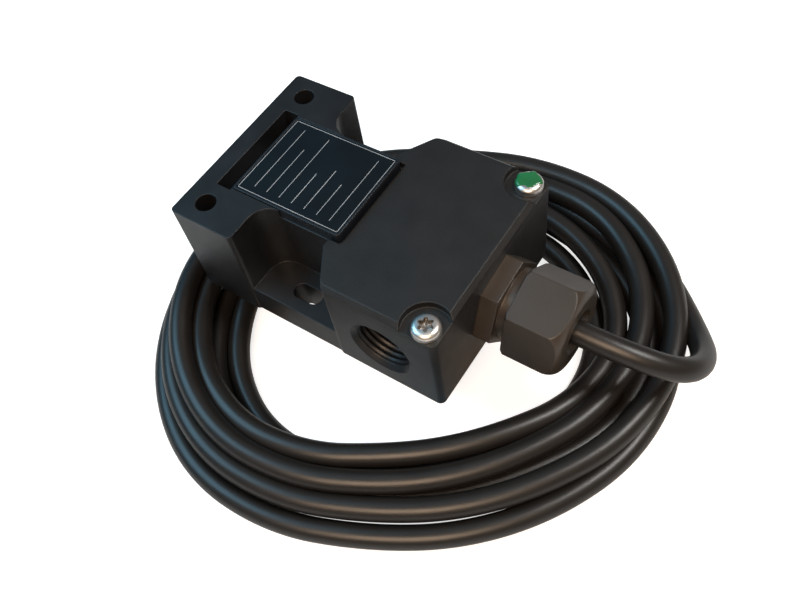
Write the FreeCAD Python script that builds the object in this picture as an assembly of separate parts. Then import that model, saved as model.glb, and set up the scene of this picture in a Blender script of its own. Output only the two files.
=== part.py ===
"""Tongue interlock switch with a pre-wired cord, millimetres.

Every piece is drawn from the head end (x = 0, with +x towards the cable gland), the middle plane
(y = 0) and the back plane (z = 0, with +z out of the front). DATUM then moves the whole switch so
that its origin is midway between the two fixing holes, on the head's front face.
"""
import FreeCAD, Part
import math
import os
from FreeCAD import Vector

# ---- driving dimensions ------------------------------------------------------------------------
# housing
HOUSING_LENGTH = 75.0
HOUSING_WIDTH = 52.0
HOUSING_DEPTH = 30.0
HEAD_LENGTH = 19.0
HEAD_CORNER = 1.2
NECK_FILLET = 5.5
WAIST_WIDTH = 27.0
FLANGE_THICKNESS = 9.0
FLANGE_INSET = 0.4
SHOULDER_START = 38.7
SHOULDER_END = 45.0
SHOULDER_WIDTH = 31.6
SHOULDER_ROUND = 2.0
BOX_CORNER = 1.6
WALL = 2.4
FLOOR = 2.6
# fixing holes
FIXING_SPACING = 40.0
FIXING_FROM_END = 6.6
FIXING_RADIUS = 2.65
FLANGE_SLOT_X = 32.4
FLANGE_SLOT_SPACING = 40.0
FLANGE_SLOT_RADIUS = 2.15
FLANGE_SLOT_LENGTH = 8.3
# tongue entries
TONGUE_SLOT_WIDTH = 28.0
TONGUE_SLOT_THICKNESS = 4.3
TONGUE_SLOT_SETBACK = 7.2
TONGUE_SLOT_REACH = 16.0
# mechanism cover and label
COVER_LENGTH = 31.9
COVER_WIDTH = 26.4
COVER_THICKNESS = 3.0
COVER_PROUD = 0.2
COVER_CORNER = 0.8
COVER_RIM = 0.55
KEEPER_LENGTH = 3.4
LABEL_THICKNESS = 0.15
LABEL_DEPTH = 0.3
LABEL_SLIP = 0.1
COVER_PIN_RADIUS = 0.75
COVER_PIN_LENGTH = 9.0
COVER_PIN_FROM_END = 2.0
COVER_PIN_FROM_EDGE = 1.1
COVER_PIN_TO_BLOCK = 0.15
# rotor
ROTOR_SETBACK = 15.2
DISC_RADIUS = 9.5
DISC_THICKNESS = 5.0
ROTOR_WIDTH = 20.0
CAM_THICKNESS = 6.0
DISC_GAP = 0.3
CAM_TOP = 9.3
CAM_STROKE = 2.2
CAM_TRAVEL_DEG = 60.0
HUB_RADIUS = 4.0
AXLE_RADIUS = 2.0
AXLE_LENGTH = 25.8
NOTCH_WIDTH = 5.2
NOTCH_BOTTOM = 5.6
POCKET_CLEARANCE = 0.5
# plunger and contacts
PLUNGER_RADIUS = 2.4
PLUNGER_TAIL_RADIUS = 1.1
PLUNGER_STEM_START = 27.0
PLUNGER_STEM_END = 46.2
PLUNGER_TAIL_LENGTH = 1.8
NOSE_RADIUS = 0.8
NOSE_WIDTH = 4.0
SPRING_WIRE = 0.4
SPRING_RADIUS = 1.75
SPRING_TURNS = 4.0
BRIDGE_THICKNESS = 1.0
BRIDGE_LENGTH = 14.4
BRIDGE_HEIGHT = 2.8
NC_BRIDGE_X = 34.6
NO_BRIDGE_X = 38.7
CONTACT_RADIUS = 1.2
CONTACT_HEIGHT = 0.6
CONTACT_Y = 6.0
NC_CONTACT_GAP = 2.3
NO_CONTACT_GAP = 0.15
STRIP_THICKNESS = 0.8
STRIP_HEIGHT = 3.0
STRIP_LANE_PITCH = 1.2
# contact block
BLOCK_START = 27.6
BLOCK_FRONT_WALL = 1.6
BLOCK_SLIP = 0.1
BLOCK_LAP = 0.2
BLOCK_WALL = 1.2
BLOCK_FLOOR = 3.0
BLOCK_TRAY_DEPTH = 6.0
BLOCK_REAR_START = 43.6
BLOCK_REAR_END = 46.8
SPRING_POCKET_END = 50.4
SPRING_BOSS_END = 51.4
SPRING_BOSS_WIDTH = 6.6
TERMINAL_LEDGE_END = 53.4
TERMINAL_LEDGE_WALL = 0.9
TERMINAL_LEDGE_RISE = 1.2
TERMINAL_PROUD = 0.2
TERMINAL_X = 50.6
TERMINAL_SIZE = 5.0
TERMINAL_HEIGHT = 6.0
TERMINAL_INNER_Y = 6.0
TERMINAL_TO_ENTRY = 1.7
TERMINAL_SCREW_RADIUS = 1.4
TERMINAL_HEAD_RADIUS = 2.3
TERMINAL_HEAD_HEIGHT = 1.6
TERMINAL_DRIVER_SLOT = 0.6
WIRE_HOLE_RADIUS = 1.1
WIRE_HOLE_HEIGHT = 3.2
# terminal lid
LID_SETBACK = 1.7
LID_THICKNESS = 3.3
LID_BEVEL = 1.2
LID_NOTCH_GAP = 0.5
LID_START_GAP = 0.8
LID_SCREW_X = 71.0
LID_SCREW_FROM_EDGE = 3.4
LID_POCKET_RADIUS = 5.9
LID_EAR_THICKNESS = 1.4
LID_SCREW_HEAD_RADIUS = 3.45
LID_SCREW_HEAD_HEIGHT = 2.3
LID_SCREW_RIM_HEIGHT = 1.38
LID_SCREW_CROWN_RADIUS = 2.484
LID_SCREW_SHANK_RADIUS = 1.75
LID_SCREW_LENGTH = 13.0
LID_SCREW_RECESS_RADIUS = 1.3
LID_SCREW_RECESS_DEPTH = 1.2
LID_BOSS_RADIUS = 3.8
GASKET_WIDTH = 1.2
GASKET_HEIGHT = 0.8
GASKET_INSET = 1.2
GASKET_LAP = 0.6
GASKET_END_INSET = 1.0
GASKET_STEP = 1.6
GASKET_CORNER = 1.5
# conduit entries
ENTRY_HEIGHT = 13.0
ENTRY_FROM_GLAND_END = 16.0
ENTRY_RADIUS = 7.25
ENTRY_CHAMFER = 1.2
ENTRY_DEPTH = 7.0
ENTRY_BOSS_RADIUS = 9.6
# cable gland
GLAND_HEX_FLATS = 20.3
GLAND_HEX_LENGTH = 4.5
GLAND_HEX_TURN_DEG = 67.0
GLAND_STUB_RADIUS = 7.2
GLAND_NECK_RADIUS = 9.0
GLAND_NECK_END = 81.9
GLAND_BARREL_RADIUS = 8.4
GLAND_BARREL_END = 89.0
GLAND_CLAW_END = 91.6
GLAND_CLAW_RADIUS = 7.4
GLAND_CLAW_SLITS = 6
GLAND_CLAW_SLIT_WIDTH = 0.8
GLAND_CLAW_SLIT_LAP = 1.5
GLAND_CLAW_TAPER = 0.5
GLAND_NUT_FLATS = 21.0
GLAND_NUT_TURN_DEG = 138.5
GLAND_NUT_START = 82.1
GLAND_NUT_END = 96.0
GLAND_NUT_CHAMFER = 0.6
GLAND_NUT_SLIP = 0.1
GLAND_NUT_CONE_GAP = 0.4
GLAND_DOME_START = 91.6
GLAND_DOME_SHOULDER = (0.72, 0.3)
GLAND_MOUTH_RIM = 9.2
GLAND_MOUTH_RADIUS = 5.0
GLAND_MOUTH_FLARE = 0.8
SEAL_RADIUS = 5.7
SEAL_START = 83.0
SEAL_END = 94.6
O_RING_WIDTH = 1.6
O_RING_HEIGHT = 0.9
# cord and its cores
CORD_RADIUS = 3.0
SHEATH_END = 62.0
CORE_RADIUS = 0.95
CORE_OFFSET = 1.25
# the cord's lead, from the gland's mouth, over the coil and down outside it
LEAD_ROUTE = [
    (106.6, 0, 13.0), (120.4, 5.4, 7.4), (123.4, 15.6, 1.0), (118.2, 25.0, -4.0), (109.6, 32.6, -7.0),
]
COIL_CENTRE = (54.5, -6.3)
COIL_INNER_RADIUS = 41.0
COIL_OUTER_RADIUS = 66.5
COIL_TOP = -0.3
COIL_BOTTOM = -14.0
COIL_BEVEL = 2.5
# clearances
SLIP = 0.15
RUNNING = 0.05
NOSE_GAP = 0.15

# ---- derived positions -------------------------------------------------------------------------
DATUM = Vector(-FIXING_FROM_END, 0, -HOUSING_DEPTH)
HALF_WIDTH = HOUSING_WIDTH / 2
HALF_WAIST = WAIST_WIDTH / 2
ROTOR_X = ROTOR_SETBACK
ROTOR_Z = HOUSING_DEPTH - ROTOR_SETBACK
POCKET_RADIUS = DISC_RADIUS + POCKET_CLEARANCE
HALF_POCKET = ROTOR_WIDTH / 2 + POCKET_CLEARANCE
COVER_TOP = HOUSING_DEPTH + COVER_PROUD
COVER_BOTTOM = COVER_TOP - COVER_THICKNESS
SLOT_NEAR = TONGUE_SLOT_SETBACK - TONGUE_SLOT_THICKNESS / 2
SLOT_FAR = TONGUE_SLOT_SETBACK + TONGUE_SLOT_THICKNESS / 2
COVER_START = SLOT_FAR + SLIP
COVER_END = COVER_START + COVER_LENGTH
COVER_PIN_Y = COVER_WIDTH / 2 - COVER_PIN_FROM_EDGE
LID_TOP = HOUSING_DEPTH - LID_SETBACK
BOX_TOP = LID_TOP - LID_THICKNESS
LID_START = COVER_END + LID_START_GAP
LID_NOTCH_WIDTH = COVER_WIDTH + 2 * LID_NOTCH_GAP
COMPARTMENT_START = BLOCK_REAR_END - BLOCK_LAP
ENTRY_X = HOUSING_LENGTH - ENTRY_FROM_GLAND_END
HALF_BLOCK = COVER_PIN_Y - COVER_PIN_RADIUS - COVER_PIN_TO_BLOCK
HALF_CHANNEL = HALF_BLOCK + BLOCK_SLIP
GLAND_HEX_END = HOUSING_LENGTH + GLAND_HEX_LENGTH
CAM_RATE = CAM_STROKE / math.radians(CAM_TRAVEL_DEG)
NOSE_X = ROTOR_X + CAM_TOP + NOSE_GAP
STRIP_BOTTOM = ROTOR_Z - STRIP_HEIGHT / 2
NC_STRIP_LANE = HALF_BLOCK - BLOCK_WALL - STRIP_THICKNESS / 2
NO_STRIP_LANE = NC_STRIP_LANE - STRIP_LANE_PITCH
LID_SCREW_Y = HALF_WIDTH - LID_SCREW_FROM_EDGE
LID_EAR_TOP = BOX_TOP + LID_EAR_THICKNESS
TERMINAL_OUTER_Y = HALF_WIDTH - ENTRY_DEPTH - TERMINAL_TO_ENTRY - TERMINAL_SIZE / 2
HALF_LEDGE = TERMINAL_OUTER_Y + TERMINAL_SIZE / 2 + TERMINAL_LEDGE_WALL
TERMINAL_LEDGE_TOP = ROTOR_Z + TERMINAL_LEDGE_RISE
TERMINAL_BOTTOM = TERMINAL_LEDGE_TOP + TERMINAL_PROUD - TERMINAL_HEIGHT
SIDES = (-1, 1)

AXIS_X = Vector(1, 0, 0)
AXIS_Y = Vector(0, 1, 0)
AXIS_Z = Vector(0, 0, 1)


# ---- shape helpers -----------------------------------------------------------------------------
def box(x0, x1, y0, y1, z0, z1):
    return Part.makeBox(x1 - x0, y1 - y0, z1 - z0, Vector(x0, y0, z0))


def rod(radius, start, length, axis):
    return Part.makeCylinder(radius, length, Vector(*start), axis)


def rounded_wire(points, radii):
    """A closed wire in the z = 0 plane; each corner is rounded by its radius, or sharp at 0."""
    count = len(points)
    corners = []
    for index, point in enumerate(points):
        here = Vector(*point, 0)
        back = (Vector(*points[index - 1], 0) - here).normalize()
        ahead = (Vector(*points[(index + 1) % count], 0) - here).normalize()
        radius = radii[index]
        if radius == 0:
            corners.append((here, None, here))
            continue
        half = back.getAngle(ahead) / 2
        setback = radius / math.tan(half)
        bisector = (back + ahead).normalize()
        middle = here + bisector * (radius / math.sin(half) - radius)
        corners.append((here + back * setback, middle, here + ahead * setback))
    edges = []
    for index, (start, middle, end) in enumerate(corners):
        if middle is not None:
            edges.append(Part.Arc(start, middle, end).toShape())
        following = corners[(index + 1) % count][0]
        if end.distanceToPoint(following) > 1e-6:
            edges.append(Part.LineSegment(end, following).toShape())
    return Part.Wire(edges)


def plate(points, radii, z0, z1):
    face = Part.Face(rounded_wire(points, radii))
    face.translate(Vector(0, 0, z0))
    return face.extrude(Vector(0, 0, z1 - z0))


def mirrored_points(half, radii):
    """A half outline on the +y side, closed by its mirror image."""
    points = half + [(x, -y) for x, y in reversed(half)]
    return points, radii + list(reversed(radii))


def rounded_box(x0, x1, half_y, z0, z1, radius):
    points = [(x0, -half_y), (x1, -half_y), (x1, half_y), (x0, half_y)]
    return plate(points, [radius] * 4, z0, z1)


def turned(profile, centre_y, centre_z):
    """Revolve a closed profile of (x, radius) points about the line along x."""
    points = [Vector(x, radius, 0) for x, radius in profile]
    face = Part.Face(Part.makePolygon(points + points[:1]))
    solid = face.revolve(Vector(0, 0, 0), AXIS_X, 360)
    return solid.translated(Vector(0, centre_y, centre_z))


def hexagon(flats, turn_deg, x0, x1):
    """A hexagonal prism along x on the gland's axis, with a corner turned turn_deg from +y."""
    radius = flats / math.sqrt(3)
    corners = []
    for step in range(7):
        angle = math.radians(turn_deg + 60 * step)
        corners.append(Vector(x0, radius * math.cos(angle), ENTRY_HEIGHT + radius * math.sin(angle)))
    return Part.Face(Part.makePolygon(corners)).extrude(Vector(x1 - x0, 0, 0))


def union(shapes):
    return shapes[0].multiFuse(shapes[1:]).removeSplitter()


def bent_tube(points, radius):
    """A tube of straight runs joined by tangent arcs; returns the solid and the arcs' radii."""
    route = [Vector(*point) for point in points]
    edges = []
    bends = []
    start = route[0]
    for index in range(1, len(route) - 1):
        corner = route[index]
        back = route[index - 1] - corner
        ahead = route[index + 1] - corner
        half_turn = (math.pi - back.getAngle(ahead)) / 2
        setback = 0.45 * min(back.Length, ahead.Length)
        bend = setback / math.tan(half_turn)
        enter = corner + back.normalize() * setback
        leave = corner + ahead.normalize() * setback
        towards = (back + ahead).normalize()
        middle = corner + towards * (bend / math.cos(half_turn) - bend)
        edges.append(Part.LineSegment(start, enter).toShape())
        edges.append(Part.Arc(enter, middle, leave).toShape())
        bends.append(bend)
        start = leave
    edges.append(Part.LineSegment(start, route[-1]).toShape())
    path = Part.Wire(edges)
    section = Part.Face(Part.Wire(Part.makeCircle(radius, route[0], route[1] - route[0])))
    tube = path.makePipe(section)
    expected = math.pi * radius**2 * path.Length
    print(f"tube length {path.Length:.1f} volume/expected {tube.Volume / expected:.4f}",
          "bend radii", [round(bend, 1) for bend in bends])
    return tube


def save(name, *shapes):
    solids = [solid for shape in shapes for solid in shape.Solids]
    node = solids[0] if len(solids) == 1 else Part.makeCompound(solids)
    node.translated(DATUM).exportStep(f"parts/{name}.step")


# ---- housing -----------------------------------------------------------------------------------
def box_outline(inset=0.0):
    """The terminal box seen from the front; an inset moves its sides in and leaves its shoulders."""
    half_shoulder = SHOULDER_WIDTH / 2
    slope = (SHOULDER_END - SHOULDER_START) / (HALF_WIDTH - half_shoulder)
    side = HALF_WIDTH - inset
    half = [(SHOULDER_START, half_shoulder), (SHOULDER_END - slope * inset, side),
            (HOUSING_LENGTH - inset, side)]
    return mirrored_points(half, [0.0, SHOULDER_ROUND, BOX_CORNER])


def head_and_waist():
    """The head's block with its concave fillets down to the waist."""
    half = [(0.0, HALF_WIDTH), (HEAD_LENGTH, HALF_WIDTH), (HEAD_LENGTH, HALF_WAIST),
            (SHOULDER_END, HALF_WAIST)]
    return plate(*mirrored_points(half, [HEAD_CORNER, HEAD_CORNER, NECK_FILLET, 0.0]), 0, HOUSING_DEPTH)


def flange_slot(side):
    """The slotted hole through a rear flange."""
    y = side * FLANGE_SLOT_SPACING / 2
    reach = FLANGE_SLOT_LENGTH / 2 - FLANGE_SLOT_RADIUS
    ends = [rod(FLANGE_SLOT_RADIUS, (FLANGE_SLOT_X + way * reach, y, -1), FLANGE_THICKNESS + 2, AXIS_Z)
            for way in SIDES]
    middle = box(FLANGE_SLOT_X - reach, FLANGE_SLOT_X + reach,
                 y - FLANGE_SLOT_RADIUS, y + FLANGE_SLOT_RADIUS, -1, FLANGE_THICKNESS + 1)
    return union(ends + [middle])


def entry_cut(side):
    """The chamfered bore of a side conduit entry."""
    mouth = Vector(ENTRY_X, side * HALF_WIDTH, ENTRY_HEIGHT)
    inward = Vector(0, -side, 0)
    bore = Part.makeCylinder(ENTRY_RADIUS, ENTRY_DEPTH + 1, mouth, inward)
    chamfer = Part.makeCone(ENTRY_RADIUS + ENTRY_CHAMFER, ENTRY_RADIUS, ENTRY_CHAMFER, mouth, inward)
    return bore.fuse(chamfer)


def rotor_pocket():
    """Half-round bottom, open to the front so that the rotor drops in on its axle."""
    bottom = rod(POCKET_RADIUS, (ROTOR_X, -HALF_POCKET, ROTOR_Z), 2 * HALF_POCKET, AXIS_Y)
    mouth = box(ROTOR_X - POCKET_RADIUS, ROTOR_X + POCKET_RADIUS, -HALF_POCKET, HALF_POCKET,
                ROTOR_Z, HOUSING_DEPTH + 1)
    half_axle = AXLE_LENGTH / 2
    seat = rod(AXLE_RADIUS, (ROTOR_X, -half_axle, ROTOR_Z), AXLE_LENGTH, AXIS_Y)
    way_in = box(ROTOR_X - AXLE_RADIUS, ROTOR_X + AXLE_RADIUS, -half_axle, half_axle,
                 ROTOR_Z, HOUSING_DEPTH + 1)
    return union([bottom, mouth, seat, way_in])


def tongue_slots():
    """The entries for the actuator tongue, from the front and from the end, both beside the rotor."""
    half = TONGUE_SLOT_WIDTH / 2
    front = box(SLOT_NEAR, SLOT_FAR, -half, half, HOUSING_DEPTH - TONGUE_SLOT_REACH, HOUSING_DEPTH + 1)
    end = box(-1, TONGUE_SLOT_REACH, -half, half, HOUSING_DEPTH - SLOT_FAR, HOUSING_DEPTH - SLOT_NEAR)
    return front.fuse(end)


def housing_solid():
    """The moulding's outside, the compartment inside it and the bosses that stand in it."""
    half_flange = HALF_WIDTH - FLANGE_INSET
    flange = box(HEAD_LENGTH - 1, SHOULDER_END + 1, -half_flange, half_flange, 0, FLANGE_THICKNESS)
    terminal_box = plate(*box_outline(), 0, BOX_TOP)
    compartment = box(COMPARTMENT_START, HOUSING_LENGTH - WALL, -HALF_WIDTH + WALL, HALF_WIDTH - WALL,
                      FLOOR, BOX_TOP + 1)
    bosses = [rod(ENTRY_BOSS_RADIUS, (HOUSING_LENGTH, 0, ENTRY_HEIGHT), ENTRY_DEPTH, -AXIS_X)]
    for side in SIDES:
        bosses.append(rod(ENTRY_BOSS_RADIUS, (ENTRY_X, side * HALF_WIDTH, ENTRY_HEIGHT), ENTRY_DEPTH,
                          Vector(0, -side, 0)))
        bosses.append(rod(LID_BOSS_RADIUS, (LID_SCREW_X, side * LID_SCREW_Y, 0), BOX_TOP, AXIS_Z))
    inside = union(bosses).common(terminal_box)
    return union([head_and_waist(), flange, terminal_box]).cut(compartment).fuse(inside)


def front_cuts():
    """The seat of the mechanism cover, the lowered waist and the channel for the contact block."""
    half_seat = COVER_WIDTH / 2 + SLIP
    lowered_from = HEAD_LENGTH + NECK_FILLET - 0.5
    above = HOUSING_DEPTH + 1
    return [
        box(SLOT_FAR, COVER_END, -half_seat, half_seat, COVER_BOTTOM, above),
        box(lowered_from, COVER_END, -HALF_WIDTH, HALF_WIDTH, COVER_BOTTOM, above),
        box(COVER_END, SHOULDER_END + 1, -HALF_WIDTH, HALF_WIDTH, BOX_TOP, above),
        box(BLOCK_START, COMPARTMENT_START + 1, -HALF_CHANNEL, HALF_CHANNEL, BLOCK_FLOOR, above),
        box(ROTOR_X, BLOCK_START + 1, -HALF_POCKET, HALF_POCKET, ROTOR_Z - PLUNGER_RADIUS - 1, above),
    ]


def make_housing():
    cuts = front_cuts() + [rotor_pocket(), tongue_slots()]
    cuts.append(rod(GLAND_STUB_RADIUS, (HOUSING_LENGTH + 1, 0, ENTRY_HEIGHT), ENTRY_DEPTH + 2, -AXIS_X))
    for side in SIDES:
        cuts.append(rod(FIXING_RADIUS, (FIXING_FROM_END, side * FIXING_SPACING / 2, -1),
                        HOUSING_DEPTH + 2, AXIS_Z))
        cuts.append(rod(LID_SCREW_SHANK_RADIUS, lid_screw_tip(side), LID_SCREW_LENGTH, AXIS_Z))
        cuts += [flange_slot(side), entry_cut(side), make_cover_pin(side)]
    return housing_solid().cut(cuts)


# ---- mechanism cover and label -----------------------------------------------------------------
def label_area(z0, z1, gap):
    rim = COVER_RIM + gap
    return rounded_box(COVER_START + rim, COVER_END - rim, COVER_WIDTH / 2 - rim, z0, z1, COVER_CORNER / 2)


def make_cover_pin(side):
    """A pin under the label that fixes the cover to the waist's wall."""
    top = COVER_TOP - LABEL_DEPTH
    return rod(COVER_PIN_RADIUS, (COVER_END - COVER_PIN_FROM_END, side * COVER_PIN_Y, top - COVER_PIN_LENGTH),
               COVER_PIN_LENGTH, AXIS_Z)


def make_cover():
    """The cover over the mechanism, with two legs that keep the axle down in its seats."""
    pieces = [rounded_box(COVER_START, COVER_END, COVER_WIDTH / 2, COVER_BOTTOM, COVER_TOP, COVER_CORNER)]
    for side in SIDES:
        ends = sorted((side * (HALF_POCKET + SLIP), side * (AXLE_LENGTH / 2 - SLIP)))
        pieces.append(box(ROTOR_X - KEEPER_LENGTH / 2, ROTOR_X + KEEPER_LENGTH / 2, *ends,
                          ROTOR_Z + AXLE_RADIUS, COVER_BOTTOM))
    recess = label_area(COVER_TOP - LABEL_DEPTH, COVER_TOP + 1, 0)
    return union(pieces).cut([recess] + [make_cover_pin(side) for side in SIDES])


def make_label():
    floor = COVER_TOP - LABEL_DEPTH
    return label_area(floor, floor + LABEL_THICKNESS, LABEL_SLIP)


# ---- rotor -------------------------------------------------------------------------------------
def rotor_cylinder(radius, y0, y1):
    return rod(radius, (ROTOR_X, y0, ROTOR_Z), y1 - y0, AXIS_Y)


def rotor_notch():
    """The notch that the tongue's crossbar enters, midway between the two entries."""
    depth = DISC_RADIUS - NOTCH_BOTTOM + 1
    half = NOTCH_WIDTH / 2
    notch = box(ROTOR_X + NOTCH_BOTTOM, ROTOR_X + NOTCH_BOTTOM + depth, -ROTOR_WIDTH, ROTOR_WIDTH,
                ROTOR_Z - half, ROTOR_Z + half)
    notch.rotate(Vector(ROTOR_X, 0, ROTOR_Z), -AXIS_Y, 135)
    return notch


def make_coding_disc(side):
    inner = side * (CAM_THICKNESS / 2 + DISC_GAP)
    y0, y1 = sorted((inner, inner + side * DISC_THICKNESS))
    return rotor_cylinder(DISC_RADIUS, y0, y1).cut([rotor_notch(), rotor_cylinder(HUB_RADIUS, y0, y1)])


def cam_flank(from_deg, to_deg):
    """A flank whose radius falls evenly with the angle from the cam's top."""
    points = []
    steps = 8
    for step in range(steps + 1):
        angle = math.radians(from_deg + (to_deg - from_deg) * step / steps)
        radius = CAM_TOP - CAM_RATE * abs(angle)
        points.append(Vector(ROTOR_X + radius * math.cos(angle), -CAM_THICKNESS / 2,
                             ROTOR_Z + radius * math.sin(angle)))
    curve = Part.BSplineCurve()
    curve.interpolate(points)
    return curve.toShape(), points[0], points[-1]


def make_cam():
    """The cam that drives the plunger, on the hub that carries the coding discs."""
    lower, start, top = cam_flank(-CAM_TRAVEL_DEG, 0)
    upper, _, end = cam_flank(0, CAM_TRAVEL_DEG)
    opposite = Vector(ROTOR_X - CAM_TOP + CAM_STROKE, -CAM_THICKNESS / 2, ROTOR_Z)
    back = Part.Arc(end, opposite, start).toShape()
    cam = Part.Face(Part.Wire([lower, upper, back])).extrude(Vector(0, CAM_THICKNESS, 0))
    hub = rotor_cylinder(HUB_RADIUS, -ROTOR_WIDTH / 2, ROTOR_WIDTH / 2)
    bore = rotor_cylinder(AXLE_RADIUS + RUNNING, -ROTOR_WIDTH, ROTOR_WIDTH)
    return cam.cut(rotor_notch()).fuse(hub).cut(bore)


def make_axle():
    return rotor_cylinder(AXLE_RADIUS, -AXLE_LENGTH / 2, AXLE_LENGTH / 2)


# ---- plunger and moving contacts ---------------------------------------------------------------
def bridge_bar(x, slack):
    return box(x - slack, x + BRIDGE_THICKNESS + slack, -BRIDGE_LENGTH / 2, BRIDGE_LENGTH / 2,
               ROTOR_Z - BRIDGE_HEIGHT / 2 - slack, ROTOR_Z + BRIDGE_HEIGHT / 2 + slack)


def make_plunger():
    """Nose on the cam, a guided stem with a window for each bridge, and a tail inside the spring."""
    centre = (0, ROTOR_Z)
    half = NOSE_WIDTH / 2
    nose = rod(NOSE_RADIUS, (NOSE_X + NOSE_RADIUS, -half, ROTOR_Z), NOSE_WIDTH, AXIS_Y)
    neck = box(NOSE_X + NOSE_RADIUS, PLUNGER_STEM_START + 1, -half, half,
               ROTOR_Z - NOSE_RADIUS, ROTOR_Z + NOSE_RADIUS)
    stem = rod(PLUNGER_RADIUS, (PLUNGER_STEM_START, *centre), PLUNGER_STEM_END - PLUNGER_STEM_START, AXIS_X)
    tail = rod(PLUNGER_TAIL_RADIUS, (PLUNGER_STEM_END, *centre), PLUNGER_TAIL_LENGTH, AXIS_X)
    return union([nose, neck, stem, tail]).cut([bridge_bar(NC_BRIDGE_X, 0), bridge_bar(NO_BRIDGE_X, 0)])


def make_bridge(x, way):
    """A contact bridge with a contact at each end, on the face that way (-1 or 1) points to."""
    face = x if way < 0 else x + BRIDGE_THICKNESS
    contacts = [rod(CONTACT_RADIUS, (face, side * CONTACT_Y, ROTOR_Z), CONTACT_HEIGHT, AXIS_X * way)
                for side in SIDES]
    return union([bridge_bar(x, 0)] + contacts)


def make_return_spring():
    """A square-wire compression spring between the plunger and the end of its pocket."""
    half = SPRING_WIRE / 2
    start = PLUNGER_STEM_END + half
    length = SPRING_POCKET_END - half - start
    helix = Part.makeHelix(length / SPRING_TURNS, length, SPRING_RADIUS)
    corners = [Vector(SPRING_RADIUS + out * half, 0, up * half)
               for out, up in ((-1, -1), (1, -1), (1, 1), (-1, 1), (-1, -1))]
    spring = Part.Wire(helix).makePipeShell([Part.makePolygon(corners)], True, True)
    spring.rotate(Vector(0, 0, 0), AXIS_Y, 90)
    return spring.translated(Vector(start, 0, ROTOR_Z))


# ---- contact block, fixed contacts and terminals -----------------------------------------------
def fixed_contact(tip_face, way, lane, terminal_y, side):
    """A strip from its contact, along the block's wall, to the terminal clamp it butts against."""
    half = STRIP_THICKNESS / 2
    tip = tip_face + way * (CONTACT_HEIGHT + half)
    end = TERMINAL_X - TERMINAL_SIZE / 2 - half
    inner = CONTACT_Y - CONTACT_RADIUS - 0.2
    z0, z1 = STRIP_BOTTOM, STRIP_BOTTOM + STRIP_HEIGHT
    across = sorted((side * inner, side * (lane + half)))
    along = sorted((side * (lane - half), side * (lane + half)))
    towards = sorted((side * (lane - half if terminal_y > lane else lane + half), side * terminal_y))
    legs = [
        box(tip - half, tip + half, *across, z0, z1),
        box(tip - half, end + half, *along, z0, z1),
        box(end - half, end + half, *towards, z0, z1),
        rod(CONTACT_RADIUS, (tip_face, side * CONTACT_Y, ROTOR_Z), CONTACT_HEIGHT, AXIS_X * way),
    ]
    return union(legs)


def make_nc_contact(side):
    face = NC_BRIDGE_X - CONTACT_HEIGHT - NC_CONTACT_GAP
    return fixed_contact(face, -1, NC_STRIP_LANE, TERMINAL_OUTER_Y, side)


def make_no_contact(side):
    face = NO_BRIDGE_X + BRIDGE_THICKNESS + CONTACT_HEIGHT + NO_CONTACT_GAP
    return fixed_contact(face, 1, NO_STRIP_LANE, TERMINAL_INNER_Y, side)


def terminal_places():
    return [-TERMINAL_OUTER_Y, -TERMINAL_INNER_Y, TERMINAL_INNER_Y, TERMINAL_OUTER_Y]


def clamp_block(y, slack):
    half = TERMINAL_SIZE / 2 + slack
    return box(TERMINAL_X - half, TERMINAL_X + half, y - half, y + half,
               TERMINAL_BOTTOM, TERMINAL_BOTTOM + TERMINAL_HEIGHT)


def terminal_screw_shank(y):
    bottom = TERMINAL_BOTTOM + WIRE_HOLE_HEIGHT + CORE_RADIUS
    return rod(TERMINAL_SCREW_RADIUS, (TERMINAL_X, y, bottom), TERMINAL_BOTTOM + TERMINAL_HEIGHT - bottom,
               AXIS_Z)


def wire_way(y, radius):
    start = TERMINAL_X - TERMINAL_SIZE / 2 + 1
    return rod(radius, (start, y, TERMINAL_BOTTOM + WIRE_HOLE_HEIGHT), TERMINAL_SIZE + 4, AXIS_X)


def make_terminal_clamp(y):
    return clamp_block(y, 0).cut([wire_way(y, WIRE_HOLE_RADIUS), terminal_screw_shank(y)])


def make_terminal_screw(y):
    """Cheese head with a slot, on a shank that clamps the core in its hole."""
    top = TERMINAL_BOTTOM + TERMINAL_HEIGHT
    shank = terminal_screw_shank(y)
    head = rod(TERMINAL_HEAD_RADIUS, (TERMINAL_X, y, top), TERMINAL_HEAD_HEIGHT, AXIS_Z)
    half_slot = TERMINAL_DRIVER_SLOT / 2
    slot = box(TERMINAL_X - TERMINAL_SIZE, TERMINAL_X + TERMINAL_SIZE, y - half_slot, y + half_slot,
               top + TERMINAL_HEAD_HEIGHT / 2, top + TERMINAL_HEAD_HEIGHT + 1)
    return shank.fuse(head).cut(slot)


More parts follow.
